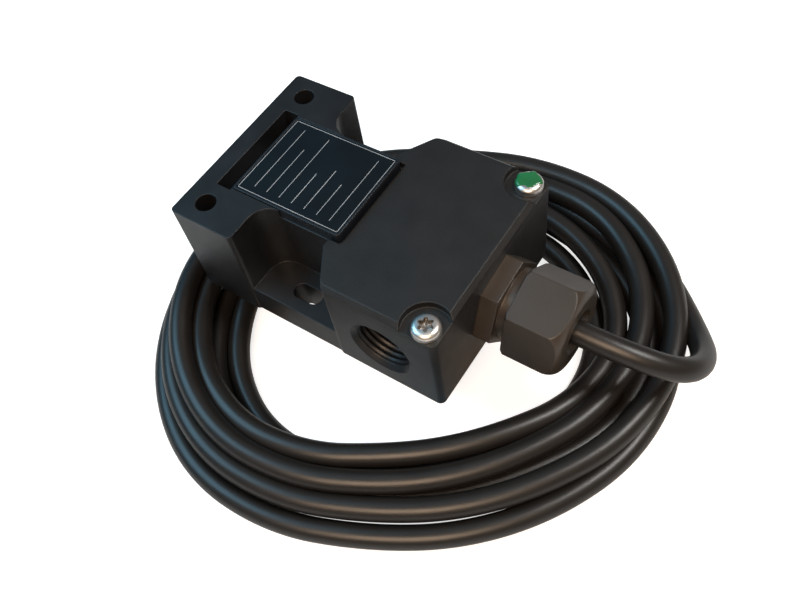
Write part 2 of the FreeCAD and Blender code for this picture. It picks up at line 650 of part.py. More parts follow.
def make_contact_block(inserts):
    """Tray for the contacts, hooded at the rear, with the plunger's guide and the terminal ledge."""
    half = HALF_BLOCK
    tray = box(BLOCK_START, BLOCK_REAR_END, -half, half, BLOCK_FLOOR, BOX_TOP)
    front = box(BLOCK_START, BLOCK_REAR_START, -half, half, BOX_TOP - 1, COVER_BOTTOM)
    front = front.common(box(0, COVER_END, -half, half, 0, COVER_BOTTOM))
    ledge = box(BLOCK_REAR_END - 1, TERMINAL_LEDGE_END, -HALF_LEDGE, HALF_LEDGE,
                BLOCK_FLOOR, TERMINAL_LEDGE_TOP)
    ledge = ledge.cut(box(0, BLOCK_REAR_END, -HALF_WIDTH, HALF_WIDTH, 0, HOUSING_DEPTH))
    boss = box(BLOCK_REAR_START, SPRING_BOSS_END, -SPRING_BOSS_WIDTH / 2, SPRING_BOSS_WIDTH / 2,
               BLOCK_FLOOR, ROTOR_Z + SPRING_BOSS_WIDTH / 2)
    inner = half - BLOCK_WALL
    front_wall = BLOCK_START + BLOCK_FRONT_WALL
    hood = ROTOR_Z + SPRING_BOSS_WIDTH / 2
    hollow = box(front_wall, BLOCK_REAR_START, -inner, inner, STRIP_BOTTOM - BLOCK_TRAY_DEPTH, hood)
    mouth = box(front_wall, COVER_END - 1, -inner, inner, hood, HOUSING_DEPTH)
    guide = rod(PLUNGER_RADIUS + RUNNING, (BLOCK_START - 1, 0, ROTOR_Z), SPRING_POCKET_END - BLOCK_START + 1,
                AXIS_X)
    wells = [clamp_block(y, 0) for y in terminal_places()]
    ways = [wire_way(y, WIRE_HOLE_RADIUS) for y in terminal_places()]
    return union([tray, front, ledge, boss]).cut([hollow, mouth, guide] + wells + ways + inserts)


# ---- terminal lid ------------------------------------------------------------------------------
def lid_screw_tip(side):
    return (LID_SCREW_X, side * LID_SCREW_Y, LID_EAR_TOP - LID_SCREW_LENGTH)


def make_gasket():
    """A ring in the lid's underside that passes inside the two screws."""
    outer_side = HALF_WIDTH - GASKET_INSET
    screw_side = LID_SCREW_Y - LID_BOSS_RADIUS
    half = [
        (LID_START + GASKET_INSET, HALF_WAIST), (COMPARTMENT_START - GASKET_LAP, outer_side),
        (LID_SCREW_X - LID_BOSS_RADIUS - GASKET_STEP, outer_side),
        (LID_SCREW_X - LID_BOSS_RADIUS, screw_side), (HOUSING_LENGTH - GASKET_END_INSET, screw_side),
    ]
    outer = rounded_wire(*mirrored_points(half, [GASKET_CORNER] * len(half)))
    inner = outer.makeOffset2D(-GASKET_WIDTH)
    ring = Part.Face(outer).cut(Part.Face(inner)).extrude(AXIS_Z * GASKET_HEIGHT)
    return ring.translated(AXIS_Z * BOX_TOP)


def make_lid(gasket):
    """Lid with bevelled outer edges, notched for the cover, with a low ear under each screw."""
    edge = LID_TOP - LID_BEVEL
    foot = rounded_wire(*box_outline()).translated(AXIS_Z * edge)
    crest = rounded_wire(*box_outline(LID_BEVEL)).translated(AXIS_Z * LID_TOP)
    body = plate(*box_outline(), BOX_TOP, edge).fuse(Part.makeLoft([foot, crest], True, True))
    cuts = [gasket, box(0, LID_START, -LID_NOTCH_WIDTH / 2, LID_NOTCH_WIDTH / 2, 0, HOUSING_DEPTH + 1)]
    for side in SIDES:
        cuts.append(rod(LID_POCKET_RADIUS, (LID_SCREW_X, side * LID_SCREW_Y, LID_EAR_TOP), LID_THICKNESS,
                        AXIS_Z))
        cuts.append(rod(LID_SCREW_SHANK_RADIUS, lid_screw_tip(side), LID_SCREW_LENGTH, AXIS_Z))
    return body.removeSplitter().cut(cuts)


def make_lid_screw(side):
    """Pan-head screw: a rim and a low crown, with a recess for the driver."""
    centre = (LID_SCREW_X, side * LID_SCREW_Y, LID_EAR_TOP)
    shank = rod(LID_SCREW_SHANK_RADIUS, lid_screw_tip(side), LID_SCREW_LENGTH, AXIS_Z)
    rim = LID_SCREW_RIM_HEIGHT
    head = rod(LID_SCREW_HEAD_RADIUS, centre, rim, AXIS_Z)
    crown = Part.makeCone(LID_SCREW_HEAD_RADIUS, LID_SCREW_CROWN_RADIUS, LID_SCREW_HEAD_HEIGHT - rim,
                          Vector(*centre) + AXIS_Z * rim, AXIS_Z)
    recess = rod(LID_SCREW_RECESS_RADIUS, centre, LID_SCREW_HEAD_HEIGHT, AXIS_Z)
    recess = recess.translated(AXIS_Z * (LID_SCREW_HEAD_HEIGHT - LID_SCREW_RECESS_DEPTH))
    return union([shank, head, crown]).cut(recess)


# ---- cable gland -------------------------------------------------------------------------------
def make_o_ring():
    inner = GLAND_STUB_RADIUS
    return turned([(HOUSING_LENGTH, inner), (HOUSING_LENGTH, inner + O_RING_WIDTH),
                   (HOUSING_LENGTH + O_RING_HEIGHT, inner + O_RING_WIDTH),
                   (HOUSING_LENGTH + O_RING_HEIGHT, inner)], 0, ENTRY_HEIGHT)


def make_gland_body():
    """Stub in the housing, hexagon, neck, barrel and the slit claws that grip the seal."""
    stub_end = HOUSING_LENGTH - ENTRY_DEPTH
    outer = turned([
        (stub_end, 0), (stub_end, GLAND_STUB_RADIUS), (GLAND_HEX_END, GLAND_STUB_RADIUS),
        (GLAND_HEX_END, GLAND_NECK_RADIUS), (GLAND_NECK_END, GLAND_NECK_RADIUS),
        (GLAND_NECK_END, GLAND_BARREL_RADIUS), (GLAND_BARREL_END, GLAND_BARREL_RADIUS),
        (GLAND_BARREL_END, GLAND_CLAW_RADIUS), (GLAND_CLAW_END, GLAND_CLAW_RADIUS - GLAND_CLAW_TAPER),
        (GLAND_CLAW_END, 0)], 0, ENTRY_HEIGHT)
    seal_seat = rod(SEAL_RADIUS, (SEAL_START, 0, ENTRY_HEIGHT), GLAND_CLAW_END, AXIS_X)
    cable_way = rod(CORD_RADIUS + 1, (stub_end - 1, 0, ENTRY_HEIGHT), GLAND_CLAW_END - stub_end, AXIS_X)
    half_slit = GLAND_CLAW_SLIT_WIDTH / 2
    slits = []
    for step in range(GLAND_CLAW_SLITS // 2):
        slit = box(GLAND_BARREL_END - GLAND_CLAW_SLIT_LAP, GLAND_CLAW_END + 1,
                   -GLAND_CLAW_RADIUS, GLAND_CLAW_RADIUS, ENTRY_HEIGHT - half_slit, ENTRY_HEIGHT + half_slit)
        slit.rotate(Vector(0, 0, ENTRY_HEIGHT), AXIS_X, 360 * (step + 0.5) / GLAND_CLAW_SLITS)
        slits.append(slit)
    hexagonal = hexagon(GLAND_HEX_FLATS, GLAND_HEX_TURN_DEG, HOUSING_LENGTH, GLAND_HEX_END)
    return hexagonal.fuse(outer).cut([seal_seat, cable_way, make_o_ring()] + slits)


def make_gland_seal():
    """Rubber sleeve on the cord that fills the claws and shows in the nut's mouth."""
    return turned([(SEAL_START, CORD_RADIUS), (SEAL_START, SEAL_RADIUS), (GLAND_CLAW_END, SEAL_RADIUS),
                   (SEAL_END - 1, GLAND_MOUTH_RADIUS), (SEAL_END, GLAND_MOUTH_RADIUS),
                   (SEAL_END, CORD_RADIUS)], 0, ENTRY_HEIGHT)


def make_gland_nut():
    """Hexagon with a domed end, bored over the barrel and coned over the claws."""
    corner = GLAND_NUT_FLATS / math.sqrt(3)
    points = [Vector(GLAND_NUT_START, 0, 0), Vector(GLAND_NUT_START, corner - GLAND_NUT_CHAMFER, 0),
              Vector(GLAND_NUT_START + GLAND_NUT_CHAMFER, corner, 0), Vector(GLAND_DOME_START, corner, 0),
              Vector(GLAND_NUT_END, GLAND_MOUTH_RIM, 0), Vector(GLAND_NUT_END, 0, 0)]
    along, inward = GLAND_DOME_SHOULDER
    shoulder = Vector(GLAND_DOME_START + along * (GLAND_NUT_END - GLAND_DOME_START),
                      corner - inward * (corner - GLAND_MOUTH_RIM), 0)
    edges = [Part.LineSegment(points[i], points[i + 1]).toShape() for i in (0, 1, 2, 4)]
    edges.insert(3, Part.Arc(points[3], shoulder, points[4]).toShape())
    edges.append(Part.LineSegment(points[5], points[0]).toShape())
    outer = Part.Face(Part.Wire(edges)).revolve(Vector(0, 0, 0), AXIS_X, 360)
    outer = outer.translated(Vector(0, 0, ENTRY_HEIGHT))
    barrel = GLAND_BARREL_RADIUS + GLAND_NUT_SLIP
    flare = GLAND_MOUTH_RADIUS + GLAND_MOUTH_FLARE
    inner = turned([
        (GLAND_NUT_START - 1, 0), (GLAND_NUT_START - 1, barrel), (GLAND_BARREL_END + GLAND_NUT_CONE_GAP, barrel),
        (GLAND_CLAW_END, GLAND_CLAW_RADIUS - GLAND_CLAW_TAPER), (SEAL_END - 1, GLAND_MOUTH_RADIUS),
        (SEAL_END, GLAND_MOUTH_RADIUS), (GLAND_NUT_END, flare), (GLAND_NUT_END + 1, flare),
        (GLAND_NUT_END + 1, 0)], 0, ENTRY_HEIGHT)
    blank = hexagon(GLAND_NUT_FLATS, GLAND_NUT_TURN_DEG, GLAND_NUT_START, GLAND_NUT_END)
    return blank.common(outer).cut(inner)


# ---- cord --------------------------------------------------------------------------------------
def make_sheath_end():
    """The cord's last stretch, through the seal into the compartment."""
    return rod(CORD_RADIUS, (SHEATH_END, 0, ENTRY_HEIGHT), SEAL_END - SHEATH_END, AXIS_X)


def make_core(y, up):
    """One core: a straight length to its terminal, turned there into the clamp's hole."""
    height = TERMINAL_BOTTOM + WIRE_HOLE_HEIGHT
    start = Vector(SHEATH_END, math.copysign(CORE_OFFSET, y), ENTRY_HEIGHT + up * CORE_OFFSET)
    knee = Vector(TERMINAL_LEDGE_END + 2.0, y, height)
    lengths = [Part.makeCylinder(CORE_RADIUS, (knee - start).Length, start, knee - start),
               Part.makeCylinder(CORE_RADIUS, knee.x - TERMINAL_X, knee, -AXIS_X)]
    return union(lengths + [Part.makeSphere(CORE_RADIUS, knee)]).cut(make_sheath_end())


def make_cord_lead():
    return bent_tube([(SEAL_END, 0, ENTRY_HEIGHT)] + LEAD_ROUTE, CORD_RADIUS)


def make_cord_coil():
    """The outer shape of the coiled cord: a ring with bevelled edges."""
    corners = []
    for radius, inward in ((COIL_INNER_RADIUS, COIL_BEVEL), (COIL_OUTER_RADIUS, -COIL_BEVEL)):
        corners.append([Vector(radius + inward, 0, COIL_BOTTOM), Vector(radius, 0, COIL_BOTTOM + COIL_BEVEL),
                        Vector(radius, 0, COIL_TOP - COIL_BEVEL), Vector(radius + inward, 0, COIL_TOP)])
    inner, outer = corners
    section = Part.Face(Part.makePolygon(inner + outer[::-1] + inner[:1]))
    ring = section.revolve(Vector(0, 0, 0), AXIS_Z, 360)
    return ring.translated(Vector(*COIL_CENTRE, 0))


# ---- the switch --------------------------------------------------------------------------------
def main():
    os.makedirs("parts", exist_ok=True)
    nc_contacts = [make_nc_contact(side) for side in SIDES]
    no_contacts = [make_no_contact(side) for side in SIDES]
    gasket = make_gasket()
    places = terminal_places()
    save("housing", make_housing())
    save("mechanism_cover", make_cover())
    save("cover_pins", *[make_cover_pin(side) for side in SIDES])
    save("label_plate", make_label())
    save("rotor_axle", make_axle())
    save("rotor_cam", make_cam())
    save("coding_disc_near", make_coding_disc(-1))
    save("coding_disc_far", make_coding_disc(1))
    save("plunger", make_plunger())
    save("nc_contact_bridge", make_bridge(NC_BRIDGE_X, -1))
    save("no_contact_bridge", make_bridge(NO_BRIDGE_X, 1))
    save("return_spring", make_return_spring())
    save("contact_block", make_contact_block(nc_contacts + no_contacts))
    save("nc_fixed_contacts", *nc_contacts)
    save("no_fixed_contacts", *no_contacts)
    save("terminal_clamps", *[make_terminal_clamp(y) for y in places])
    save("terminal_screws", *[make_terminal_screw(y) for y in places])
    save("lid_gasket", gasket)
    save("terminal_lid", make_lid(gasket))
    save("lid_screw_near", make_lid_screw(-1))
    save("lid_screw_far", make_lid_screw(1))
    save("gland_o_ring", make_o_ring())
    save("gland_body", make_gland_body())
    save("gland_seal", make_gland_seal())
    save("gland_nut", make_gland_nut())
    save("cord_sheath_end", make_sheath_end())
    for name, y, up in zip(("brown", "blue", "black", "grey"), places, (-1, 1, 1, -1)):
        save(f"core_{name}", make_core(y, up))
    save("cord_lead", make_cord_lead())
    save("cord_coil", make_cord_coil())


main()
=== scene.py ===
"""The look of a tongue interlock switch with its cable gland and its coil of cord."""

import math

import bmesh
import bpy
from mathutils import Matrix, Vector


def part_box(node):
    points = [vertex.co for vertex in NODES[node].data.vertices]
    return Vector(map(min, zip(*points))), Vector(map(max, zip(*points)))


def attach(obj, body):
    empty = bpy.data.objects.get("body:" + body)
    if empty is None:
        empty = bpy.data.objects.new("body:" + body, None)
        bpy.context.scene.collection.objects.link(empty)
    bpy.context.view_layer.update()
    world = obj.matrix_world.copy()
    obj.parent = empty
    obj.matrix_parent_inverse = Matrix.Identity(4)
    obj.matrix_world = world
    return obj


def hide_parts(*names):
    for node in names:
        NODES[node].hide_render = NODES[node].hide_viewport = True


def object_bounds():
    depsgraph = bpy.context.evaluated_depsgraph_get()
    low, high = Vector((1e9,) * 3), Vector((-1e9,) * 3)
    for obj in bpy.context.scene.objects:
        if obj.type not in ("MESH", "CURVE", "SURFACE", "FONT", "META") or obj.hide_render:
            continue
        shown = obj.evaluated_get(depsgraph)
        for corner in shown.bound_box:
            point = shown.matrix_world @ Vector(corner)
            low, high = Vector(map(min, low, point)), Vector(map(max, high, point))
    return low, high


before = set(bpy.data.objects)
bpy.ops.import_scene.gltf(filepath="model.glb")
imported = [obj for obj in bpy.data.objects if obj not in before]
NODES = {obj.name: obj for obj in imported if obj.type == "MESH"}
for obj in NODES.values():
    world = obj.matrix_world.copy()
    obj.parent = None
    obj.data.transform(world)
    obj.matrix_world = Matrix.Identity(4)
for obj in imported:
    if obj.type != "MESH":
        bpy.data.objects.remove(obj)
CAD_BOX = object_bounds()

MM = 0.001
HOUSING_LOW, HOUSING_HIGH = (Vector(corner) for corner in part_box("housing"))
NEAR_AND_FAR = (("near", -1), ("far", 1))
HALF_WIDTH = (HOUSING_HIGH.y - HOUSING_LOW.y) / 2 / MM


def place(x, y, z):
    """x mm from the head's end, y from the middle and z from the back, as a point in the row frame."""
    middle = (HOUSING_LOW.y + HOUSING_HIGH.y) / 2
    return Vector((HOUSING_LOW.x + x * MM, middle + y * MM, HOUSING_LOW.z + z * MM))


# ---- cord --------------------------------------------------------------------------------------
CORD_DIAMETER = 6.0
COIL_DEPTH = 14.0
CORD_EXIT = (94.6, 0.0, 13.0)
# from the gland's mouth, over the coil and down outside it
LEAD_ROUTE = [
    (106.6, 0.0, 13.0), (120.0, 5.0, 7.4), (122.6, 14.8, 0.0), (116.2, 26.6, -8.0),
    (102.9, 40.7, -11.0),
]
COIL_MIDDLE = (54.5, -6.3)
COIL_START_DEG = 20
STATIONS_PER_TURN = 8
POINTS_PER_STATION = 2
# a spline cuts inside its control points, so they stand this much further out
COIL_SPREAD = 1.02
# each turn's distance from the coil's middle and its height, at the right, back right, back, back
# left, left, front left, front and front right; the first is where the lead lies down
COIL_TURNS = [
    [(70.0, -9.0), (64.3, -11.0), (59.5, -11.0), (65.0, -11.0),
     (69.6, -11.0), (67.0, -11.0), (55.8, -11.0), (57.2, -11.0)],
    [(64.4, -11.0), (58.2, -11.0), (53.7, -11.0), (59.2, -11.0),
     (66.6, -5.4), (62.2, -6.3), (50.5, -7.2), (52.6, -6.6)],
    [(64.3, -4.9), (64.6, -5.0), (55.9, -5.5), (61.5, -5.5),
     (63.8, -0.3), (57.5, -3.0), (45.0, -4.6), (45.0, -4.6)],
    [(55.5, -4.0), (58.6, -4.6), (49.9, -5.6), (55.0, -5.4),
     (59.5, -4.5), (52.0, -4.0), (38.3, -4.2), (38.8, -4.4)],
    [(50.2, -6.4), (48.8, -5.8), (43.9, -5.0), (48.0, -5.2),
     (49.8, -11.0), (47.4, -11.0), (40.6, -10.6), (41.3, -10.6)],
    [(45.8, -11.0), (44.0, -11.0), (40.4, -11.0), (53.0, -11.0),
     (56.0, -11.0), (53.0, -11.0), (46.2, -11.0), (47.5, -10.8)],
    [(59.6, -10.6), (51.6, -11.0), (47.2, -11.0), (47.2, -11.0)],
]


def between(before, here, ahead, after, share):
    """A smooth course through four evenly spaced values, between the middle two."""
    bend = 3 * (here - ahead) + after - before
    slope = 2 * before - 5 * here + 4 * ahead - after
    return here + share / 2 * (ahead - before + share * (slope + share * bend))


def coil_route():
    """The control points of the coil's turns, evenly spaced round its middle."""
    stations = [station for turn in COIL_TURNS for station in turn]
    points = []
    for index in range(1, len(stations) - 2):
        for step in range(POINTS_PER_STATION):
            share = step / POINTS_PER_STATION
            radius, height = (between(*values, share) for values in zip(*stations[index - 1:index + 3]))
            angle = math.radians(COIL_START_DEG + 360 * (index + share) / STATIONS_PER_TURN)
            points.append((COIL_MIDDLE[0] + COIL_SPREAD * radius * math.cos(angle),
                           COIL_MIDDLE[1] + COIL_SPREAD * radius * math.sin(angle),
                           max(height, CORD_DIAMETER / 2 - COIL_DEPTH)))
    return points


def make_cord(material):
    curve = bpy.data.curves.new("cord", "CURVE")
    curve.dimensions = "3D"
    curve.bevel_depth = CORD_DIAMETER / 2 * MM
    curve.bevel_resolution = 8
    curve.resolution_u = 12
    curve.use_fill_caps = True
    route = [CORD_EXIT] + LEAD_ROUTE + coil_route()
    spline = curve.splines.new("NURBS")
    spline.points.add(len(route) - 1)
    for point, spot in zip(spline.points, route):
        point.co = (*place(*spot), 1)
    spline.order_u = 3
    spline.use_endpoint_u = True
    cord = bpy.data.objects.new("cord", curve)
    bpy.context.collection.objects.link(cord)
    curve.materials.append(material)
    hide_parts("cord_lead", "cord_coil")
    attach(cord, "switch")
    return cord


# ---- materials ---------------------------------------------------------------------------------
COLOUR_DRIFT_SIZE = 14
GLOSS_DRIFT_SIZE = 5
GLOSS_SPREAD = 0.15


def moulded(name, colour, roughness, grain=0.25, relief=0.02, mottle=0.35, tint=None, metallic=0.0,
            coat=0.0, specular=0.5, edge=0.0):
    """A surface with a fine grain of that size and relief in mm, a slow drift in colour and gloss, and
    edges that catch the light as if rounded by the radius edge."""
    material = bpy.data.materials.new(name)
    material.use_nodes = True
    tree = material.node_tree
    shader = tree.nodes["Principled BSDF"]
    shader.inputs["Metallic"].default_value = metallic
    shader.inputs["Coat Weight"].default_value = coat
    shader.inputs["Specular IOR Level"].default_value = specular
    where = tree.nodes.new("ShaderNodeTexCoord").outputs["Object"]

    def speckle(size, detail):
        cloud = tree.nodes.new("ShaderNodeTexNoise")
        cloud.inputs["Scale"].default_value = 1 / (size * MM)
        cloud.inputs["Detail"].default_value = detail
        tree.links.new(where, cloud.inputs["Vector"])
        return cloud.outputs["Fac"]

    drift = speckle(COLOUR_DRIFT_SIZE, 3)
    ramp = tree.nodes.new("ShaderNodeValToRGB")
    darker = [channel * (1 - mottle) for channel in colour]
    ramp.color_ramp.elements[0].position = 0.35
    ramp.color_ramp.elements[0].color = (*darker, 1)
    ramp.color_ramp.elements[1].position = 0.65
    ramp.color_ramp.elements[1].color = (*(tint or colour), 1)
    tree.links.new(drift, ramp.inputs["Fac"])
    tree.links.new(ramp.outputs["Color"], shader.inputs["Base Color"])

    gloss = tree.nodes.new("ShaderNodeMapRange")
    gloss.inputs["To Min"].default_value = roughness * (1 - GLOSS_SPREAD)
    gloss.inputs["To Max"].default_value = min(1, roughness * (1 + GLOSS_SPREAD))
    tree.links.new(speckle(GLOSS_DRIFT_SIZE, 4), gloss.inputs["Value"])
    tree.links.new(gloss.outputs["Result"], shader.inputs["Roughness"])

    bump = tree.nodes.new("ShaderNodeBump")
    bump.inputs["Distance"].default_value = relief * MM
    if edge:
        rounded = tree.nodes.new("ShaderNodeBevel")
        rounded.samples = 6
        rounded.inputs["Radius"].default_value = edge * MM
        tree.links.new(rounded.outputs["Normal"], bump.inputs["Normal"])
    tree.links.new(speckle(grain, 5), bump.inputs["Height"])
    tree.links.new(bump.outputs["Normal"], shader.inputs["Normal"])
    return material


MATERIALS = {
    "housing_plastic": moulded("housing_plastic", (0.006, 0.006, 0.0065), 0.42, tint=(0.009, 0.0095, 0.011),
                               edge=0.35),
    "cover_plastic": moulded("cover_plastic", (0.006, 0.008, 0.011), 0.36, tint=(0.009, 0.012, 0.017),
                             edge=0.25),
    "label": moulded("label", (0.0025, 0.006, 0.009), 0.32, grain=0.12, relief=0.004, specular=0.35),
    "lid_plastic": moulded("lid_plastic", (0.007, 0.0068, 0.0068), 0.48, grain=0.35, relief=0.05,
                           edge=0.45),
    "gland_plastic": moulded("gland_plastic", (0.036, 0.0265, 0.019), 0.36, grain=0.3, relief=0.04,
                             edge=0.45),
    "seal_rubber": moulded("seal_rubber", (0.006, 0.006, 0.006), 0.7),
    "cord_sheath": moulded("cord_sheath", (0.011, 0.0095, 0.0085), 0.36, grain=0.5, relief=0.012,
                           mottle=0.2),
    "screw_steel": moulded("screw_steel", (0.72, 0.7, 0.67), 0.33, grain=0.2, relief=0.006, metallic=1.0,
                           mottle=0.12),
    "axle_steel": moulded("axle_steel", (0.5, 0.5, 0.5), 0.3, relief=0.004, metallic=1.0, mottle=0.1),
    "rotor_zinc": moulded("rotor_zinc", (0.34, 0.34, 0.35), 0.42, relief=0.02, metallic=1.0),
    "plunger_plastic": moulded("plunger_plastic", (0.55, 0.53, 0.47), 0.5, relief=0.01, mottle=0.1),
    "block_plastic": moulded("block_plastic", (0.03, 0.03, 0.03), 0.55, relief=0.02),
    "contact_brass": moulded("contact_brass", (0.62, 0.45, 0.2), 0.3, relief=0.01, metallic=1.0,
                             mottle=0.15),
    "core_brown": moulded("core_brown", (0.13, 0.05, 0.02), 0.45, relief=0.005, mottle=0.15),
    "core_blue": moulded("core_blue", (0.02, 0.09, 0.35), 0.45, relief=0.005, mottle=0.15),
    "core_black": moulded("core_black", (0.01, 0.01, 0.01), 0.45, relief=0.005, mottle=0.15),
    "core_grey": moulded("core_grey", (0.25, 0.25, 0.25), 0.45, relief=0.005, mottle=0.15),
}
# a darker, browner steel that paints the shade inside the lid screws' recesses
RECESS_PAINTED_SHADE = moulded("recess_painted_shade", (0.3, 0.27, 0.24), 0.45, relief=0.02, metallic=1.0, mottle=0.4)
LACQUER = moulded("green_lacquer", (0.01, 0.16, 0.05), 0.25, grain=0.4, relief=0.03, coat=0.5)


def dress_cad_nodes():
    for node in NODES.values():
        for slot in node.material_slots:
            name = slot.material.name.split(".")[0] if slot.material else ""
            if name in MATERIALS:
                slot.material = MATERIALS[name]


# ---- pieces ------------------------------------------------------------------------------------
def add_piece(name, mesh, material, replaced=(), smooth_below_deg=40):
    """Put a mesh into the scene as a piece that rides on the switch's body."""
    mesh.name = name
    if not mesh.materials:
        mesh.materials.append(material)
    for face in mesh.polygons:
        face.use_smooth = True
    mesh.set_sharp_from_angle(angle=math.radians(smooth_below_deg))
    piece = bpy.data.objects.new(name, mesh)
    bpy.context.collection.objects.link(piece)
    if replaced:
        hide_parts(*replaced)
    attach(piece, "switch")
    return piece


def mesh_from_rings(rings):
    """A skin over rings of as many points each, with one flat face over each end."""
    count = len(rings[0])
    points = [point for ring in rings for point in ring]
    faces = []
    for level in range(len(rings) - 1):
        low = level * count
        for index in range(count):
            after = (index + 1) % count
            faces.append((low + index, low + after, low + count + after, low + count + index))
    faces.append(tuple(reversed(range(count))))
    faces.append(tuple(range((len(rings) - 1) * count, len(rings) * count)))
    mesh = bpy.data.meshes.new("rings")
    mesh.from_pydata([tuple(point) for point in points], [], faces)
    return mesh


# lid screws: pan heads with a six-lobed recess
HEAD_HEIGHT = 2.3
HEAD_RIM_HEIGHT = 1.0
HEAD_EDGE = 0.15
SHANK_RADIUS = 1.75
SHANK_TIP_LENGTH = 0.5
SHANK_TIP_SHARE = 0.8
CROWN_STEPS = 9
CROWN_LAND = 0.35
RECESS_FLOOR = 0.25
RECESS_LIP = 0.1
RECESS_LIP_DEPTH = 0.12
RECESS_TAPER = 0.95
RECESS_TIP_SHARE = 0.3
RECESS_LOBES = 6
RECESS_RADIUS = 1.55
RECESS_LOBE = 0.36
RECESS_DEPTH = 1.3
SCREW_SEGMENTS = 96


def lid_screw_mesh(node):
    low, high = (Vector(corner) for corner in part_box(node))
    middle = (low + high) / 2
    head_radius = (high.x - low.x) / 2
    head_height = HEAD_HEIGHT * MM
    shank_radius = SHANK_RADIUS * MM
    seat = high.z - head_height
    crown = head_height - HEAD_RIM_HEIGHT * MM

    def ring(height, radius, lobe=0.0):
        points = []
        for index in range(SCREW_SEGMENTS):
            angle = 2 * math.pi * index / SCREW_SEGMENTS
            reach = radius + lobe * math.cos(RECESS_LOBES * angle)
            points.append((middle.x + reach * math.cos(angle), middle.y + reach * math.sin(angle), height))
        return points

    rings = [ring(low.z, shank_radius * SHANK_TIP_SHARE), ring(low.z + SHANK_TIP_LENGTH * MM, shank_radius),
             ring(seat, shank_radius), ring(seat, head_radius - HEAD_EDGE * MM),
             ring(seat + HEAD_EDGE * MM, head_radius), ring(seat + HEAD_RIM_HEIGHT * MM, head_radius)]
    recess = RECESS_RADIUS * MM
    land = recess + CROWN_LAND * MM
    for step in range(1, CROWN_STEPS):
        turn = math.pi / 2 * step / CROWN_STEPS
        radius = land + (head_radius - land) * math.cos(turn)
        rings.append(ring(seat + HEAD_RIM_HEIGHT * MM + crown * math.sin(turn), radius))
    rings.append(ring(high.z, recess + RECESS_LIP * MM, RECESS_LOBE * MM))
    rings.append(ring(high.z - RECESS_LIP_DEPTH * MM, recess, RECESS_LOBE * MM))
    rings.append(ring(high.z - RECESS_DEPTH * MM, recess * RECESS_TAPER, RECESS_LOBE * MM))
    rings.append(ring(high.z - (RECESS_DEPTH + RECESS_FLOOR) * MM, recess * RECESS_TIP_SHARE))
    mesh = mesh_from_rings(rings)
    mesh.materials.append(MATERIALS["screw_steel"])
    mesh.materials.append(RECESS_PAINTED_SHADE)
    # faces down inside the recess take the darker steel, as painted shade in the hollow
    for face in mesh.polygons:
        inside = (face.center.xy - middle.xy).length < recess + 0.3 * MM
        if inside and seat < face.center.z < high.z - 0.1 * MM:
            face.material_index = 1
    return mesh


def make_lid_screws():
    for side, _ in NEAR_AND_FAR:
        node = "lid_screw_" + side
        add_piece("pan_head_screw_" + side, lid_screw_mesh(node), MATERIALS["screw_steel"],
                  [node])


# the lacquer's rings, each as a share of the head's radius and a height in mm above its top
LACQUER_RINGS = ((0.86, -0.55), (0.8, -0.12), (0.7, 0.06), (0.45, 0.14), (0.2, 0.1))
LACQUER_OFFSET = (-0.25, 0.2)


def make_lacquer():
    """The blob of locking lacquer over most of the far screw's head."""
    low, high = (Vector(corner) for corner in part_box("lid_screw_far"))
    middle = (low + high) / 2
    head_radius = (high.x - low.x) / 2
    rings = []
    for share, height in LACQUER_RINGS:
        points = []
        for index in range(SCREW_SEGMENTS):
            angle = 2 * math.pi * index / SCREW_SEGMENTS
            edge = (1 + 0.09 * math.sin(2 * angle + 0.6) + 0.06 * math.sin(5 * angle)
                    + 0.03 * math.sin(9 * angle))
            reach = head_radius * share * edge
            points.append((middle.x + LACQUER_OFFSET[0] * MM + reach * math.cos(angle),
                           middle.y + LACQUER_OFFSET[1] * MM + reach * math.sin(angle),
                           high.z + (height - 0.05 * math.sin(3 * angle)) * MM))
        rings.append(points)
    add_piece("locking_lacquer", mesh_from_rings(rings), LACQUER)


# side entries: a metric conduit thread, as a ridge that winds into the bore
ENTRY_X = 59.0
ENTRY_Z = 13.0
ENTRY_RADIUS = 7.25
ENTRY_CHAMFER = 1.2
ENTRY_DEPTH = 7.0
THREAD_PITCH = 1.5
THREAD_RIDGE = 0.4
THREAD_SEGMENTS = 72
THREAD_RUNOUT = 20
THREAD_SETBACK = 0.2
THREAD_SLIP = 0.02
THREAD_ROOT = -0.25
# the ridge's outline, as shares of the pitch along the bore and mm inwards
THREAD_PROFILE = ((0.08, 0.0), (0.5, THREAD_RIDGE), (0.6, THREAD_RIDGE), (1.0, 0.0), (0.55, THREAD_ROOT))


def make_entry_threads():
    turns = int((ENTRY_DEPTH - ENTRY_CHAMFER) / THREAD_PITCH)
    steps = turns * THREAD_SEGMENTS
    for side, way in NEAR_AND_FAR:
        rings = []
        for index in range(steps + 1):
            angle = 2 * math.pi * index / THREAD_SEGMENTS
            taper = min(1.0, index / THREAD_RUNOUT, (steps - index) / THREAD_RUNOUT)
            ring = []
            for along, inward in THREAD_PROFILE:
                depth = ENTRY_CHAMFER + (index / THREAD_SEGMENTS + along - 0.5) * THREAD_PITCH
                radius = ENTRY_RADIUS + THREAD_SLIP - inward * taper
                inset = max(depth, THREAD_SETBACK)
                ring.append(place(ENTRY_X + radius * math.cos(angle), way * (HALF_WIDTH - inset),
                                  ENTRY_Z + radius * math.sin(angle)))
            rings.append(ring)
        add_piece("entry_thread_" + side, mesh_from_rings(rings), MATERIALS["housing_plastic"],
                  smooth_below_deg=25)


# label: a bare plate with a fine frame and writing lines, each from one share of the width to another
LABEL_LINE = 0.18
LABEL_MARGIN = 0.25
LABEL_RULES = [
    (0.08, 0.92), (0.08, 0.7), (0.08, 0.92), (0.08, 0.5), (0.08, 0.62), (0.08, 0.5), (0.08, 0.92),
]
LABEL_PRINT = 0.02
PRINT = moulded("label_print", (0.32, 0.34, 0.36), 0.45, grain=0.1, relief=0.003, mottle=0.3)


